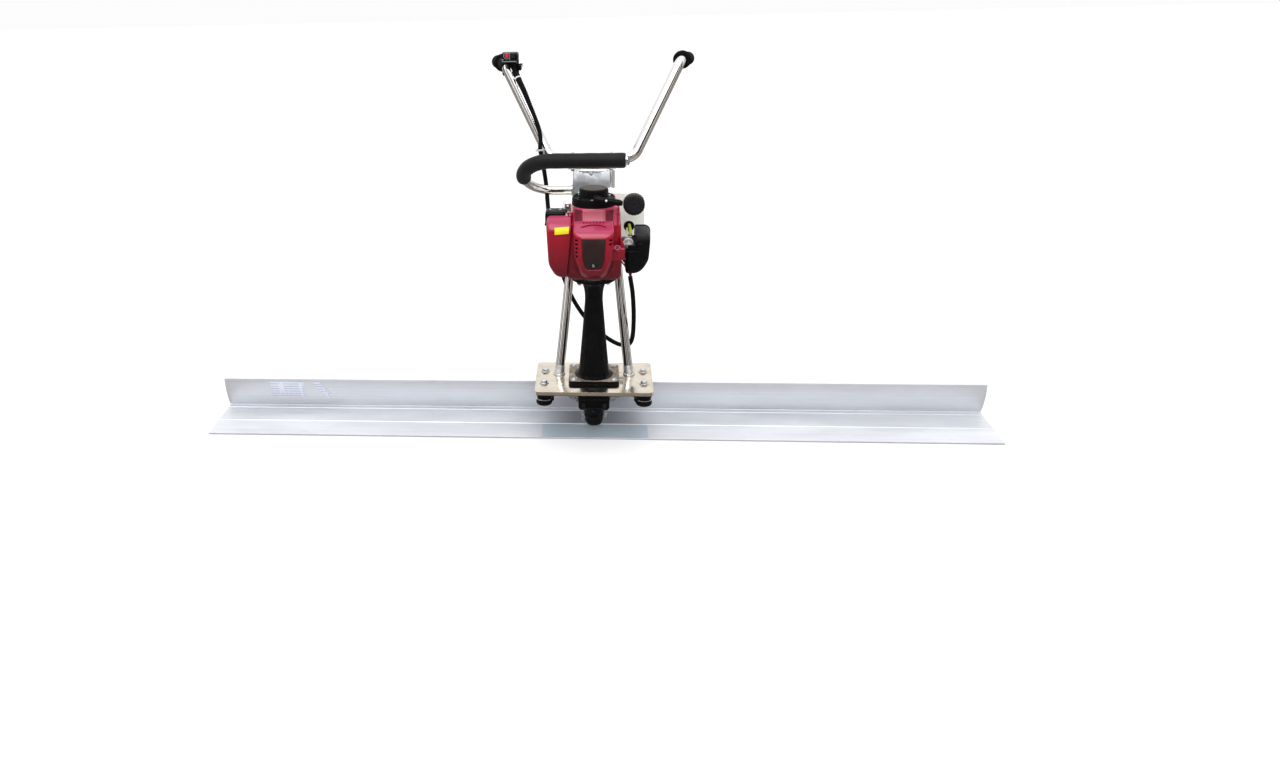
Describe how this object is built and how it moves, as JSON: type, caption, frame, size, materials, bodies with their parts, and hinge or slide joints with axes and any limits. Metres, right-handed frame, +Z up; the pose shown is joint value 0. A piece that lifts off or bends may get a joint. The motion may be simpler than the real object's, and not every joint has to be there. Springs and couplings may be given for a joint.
{
  "type": "power screed",
  "caption": "Walk-behind power screed: a long aluminium blade, a vibrating head on rubber isolators, a small upright engine, two legs, a looped lift handle and a V-shaped handlebar.",
  "frame": {"origin": "on the ground under the vertical drive axis, at the middle of the blade", "axes": "+X along the blade, +Y towards the operator's side, +Z up"},
  "size_m": [1.83, 0.5568, 0.848],
  "materials": {
    "blade_aluminium": "bright extruded aluminium",
    "black_enamel": "gloss black paint",
    "stainless_plate": "polished warm stainless",
    "chromed_tube": "bright tube",
    "zinc_steel": "zinc plated",
    "cast_aluminium": "sand cast",
    "engine_red": "gloss crimson",
    "rubber": "matte",
    "foam": "closed-cell foam",
    "black_plastic": "fine-textured moulding",
    "tank_plastic": "translucent blow moulding",
    "signal_red": "gloss",
    "clear_bulb": "clear soft plastic"
  },
  "bodies": {
    "blade": {"screed_blade": "blade_aluminium", "lower_bracket": "black_enamel", "exciter_saddle": "cast_aluminium", "exciter_housing": "black_enamel", "exciter_end_cap": "cast_aluminium", "upper_bearing": "zinc_steel", "lower_bearing": "zinc_steel", "clamp_jaw_left": "black_enamel", "clamp_jaw_right": "black_enamel"},
    "clamp_pad_left": {"clamp_pad_left": "zinc_steel"},
    "clamp_pad_right": {"clamp_pad_right": "zinc_steel"},
    "clamp_knob_left": {"clamp_knob_left": "black_plastic"},
    "clamp_knob_right": {"clamp_knob_right": "black_plastic"},
    "eccentric": {"eccentric_shaft": "zinc_steel", "eccentric_weight": "cast_aluminium"},
    "frame": {"base_plate": "stainless_plate", "isolator_front_left": "rubber", "isolator_front_right": "rubber", "isolator_rear_left": "rubber", "isolator_rear_right": "rubber", "isolator_bolt_front_left": "zinc_steel", "isolator_bolt_front_right": "zinc_steel", "isolator_bolt_rear_left": "zinc_steel", "isolator_bolt_rear_right": "zinc_steel", "shaft_housing": "black_enamel", "leg_left": "chromed_tube", "leg_right": "chromed_tube", "head_plate": "zinc_steel", "lift_handle": "chromed_tube", "foam_sleeve": "foam", "handlebar_clamp": "chromed_tube", "crankcase": "cast_aluminium", "cylinder": "cast_aluminium", "top_cover": "engine_red", "engine_shroud": "engine_red", "muffler": "cast_aluminium", "muffler_cover": "engine_red", "air_cleaner_cover": "black_plastic", "carburetor": "cast_aluminium", "fuel_tank": "tank_plastic", "starter_housing": "black_plastic", "control_cable": "rubber"},
    "drive": {"drive_shaft": "zinc_steel", "flexible_coupling": "rubber"},
    "crank": {"crankshaft": "zinc_steel", "flywheel": "cast_aluminium", "clutch_shoes": "cast_aluminium"},
    "piston": {"piston": "zinc_steel"},
    "handlebar": {"handlebar": "chromed_tube", "grip_throttle_side": "rubber", "grip_plain_side": "rubber", "switch_box": "black_plastic", "handlebar_cable": "rubber"},
    "throttle_lever": {"throttle_lever": "black_plastic"},
    "stop_switch": {"stop_switch": "signal_red"},
    "starter_grip": {"starter_grip": "rubber"},
    "starter_pulley": {"starter_pulley": "black_plastic"},
    "fuel_cap": {"fuel_cap": "black_plastic"},
    "choke_lever": {"choke_lever": "black_plastic"},
    "primer_bulb": {"primer_bulb": "clear_bulb"}
  },
  "joints": [
    {"name": "isolator_flex", "type": "slide", "parent": "blade", "child": "frame", "axis": [0, 0, 1], "range_m": [-0.003, 0.002], "stiffness_N_per_m": 160000, "deforming": ["isolator_front_left", "isolator_front_right", "isolator_rear_left", "isolator_rear_right"]},
    {"name": "crank_spin", "type": "hinge", "parent": "frame", "child": "crank", "pos_m": [0, 0, 0.458], "axis": [0, 0, 1], "continuous": true},
    {"name": "drive_spin", "type": "hinge", "parent": "frame", "child": "drive", "pos_m": [0, 0, 0.24], "axis": [0, 0, 1], "continuous": true},
    {"name": "eccentric_spin", "type": "hinge", "parent": "blade", "child": "eccentric", "pos_m": [0, 0, 0.07], "axis": [0, 0, 1], "continuous": true},
    {"name": "piston_stroke", "type": "slide", "parent": "frame", "child": "piston", "axis": [0, -1, 0], "range_m": [-0.014, 0.014]},
    {"name": "handlebar_tilt", "type": "hinge", "parent": "frame", "child": "handlebar", "pos_m": [-0.005, 0.2, 0.604], "axis": [1, 0, 0], "range_deg": [-40, 20]},
    {"name": "throttle_squeeze", "type": "hinge", "parent": "handlebar", "child": "throttle_lever", "pos_m": [-0.1807, 0.266, 0.814], "axis": [1, 0, 0], "range_deg": [-35, 0]},
    {"name": "stop_press", "type": "slide", "parent": "handlebar", "child": "stop_switch", "axis": [0, 1, 0], "range_m": [0, 0.003]},
    {"name": "starter_pull", "type": "slide", "parent": "frame", "child": "starter_grip", "axis": [0, -1, 0], "range_m": [0, 0.6]},
    {"name": "starter_reel", "type": "hinge", "parent": "frame", "child": "starter_pulley", "pos_m": [0, 0, 0.56], "axis": [0, 0, 1], "range_deg": [-1570, 0]},
    {"name": "fuel_cap_turn", "type": "hinge", "parent": "frame", "child": "fuel_cap", "pos_m": [0.089, 0.028, 0.533], "axis": [0, -1, 0], "range_deg": [0, 360]},
    {"name": "choke_turn", "type": "hinge", "parent": "frame", "child": "choke_lever", "pos_m": [0.066, -0.055, 0.436], "axis": [0, 1, 0], "range_deg": [0, 60]},
    {"name": "primer_press", "type": "slide", "parent": "frame", "child": "primer_bulb", "axis": [0, 1, 0], "range_m": [0, 0.004]},
    {"name": "clamp_left_travel", "type": "slide", "parent": "blade", "child": "clamp_pad_left", "axis": [0, 1, 0], "range_m": [0, 0.0076]},
    {"name": "clamp_left_turn", "type": "hinge", "parent": "clamp_pad_left", "child": "clamp_knob_left", "pos_m": [-0.075, 0.0759, 0.068], "axis": [0, 1, 0], "range_deg": [0, 1800]},
    {"name": "clamp_right_travel", "type": "slide", "parent": "blade", "child": "clamp_pad_right", "axis": [0, 1, 0], "range_m": [0, 0.0076]},
    {"name": "clamp_right_turn", "type": "hinge", "parent": "clamp_pad_right", "child": "clamp_knob_right", "pos_m": [0.075, 0.0759, 0.068], "axis": [0, 1, 0], "range_deg": [0, 1800]}
  ],
  "couplings": [
    {"joint": "drive_spin", "follows": "crank_spin", "ratio": 1},
    {"joint": "eccentric_spin", "follows": "crank_spin", "ratio": 1},
    {"joint": "starter_reel", "follows": "starter_pull", "rad_per_m": -45.455},
    {"joint": "clamp_left_travel", "follows": "clamp_left_turn", "m_per_rad": 0.00023873},
    {"joint": "clamp_right_travel", "follows": "clamp_right_turn", "m_per_rad": 0.00023873}
  ]
}
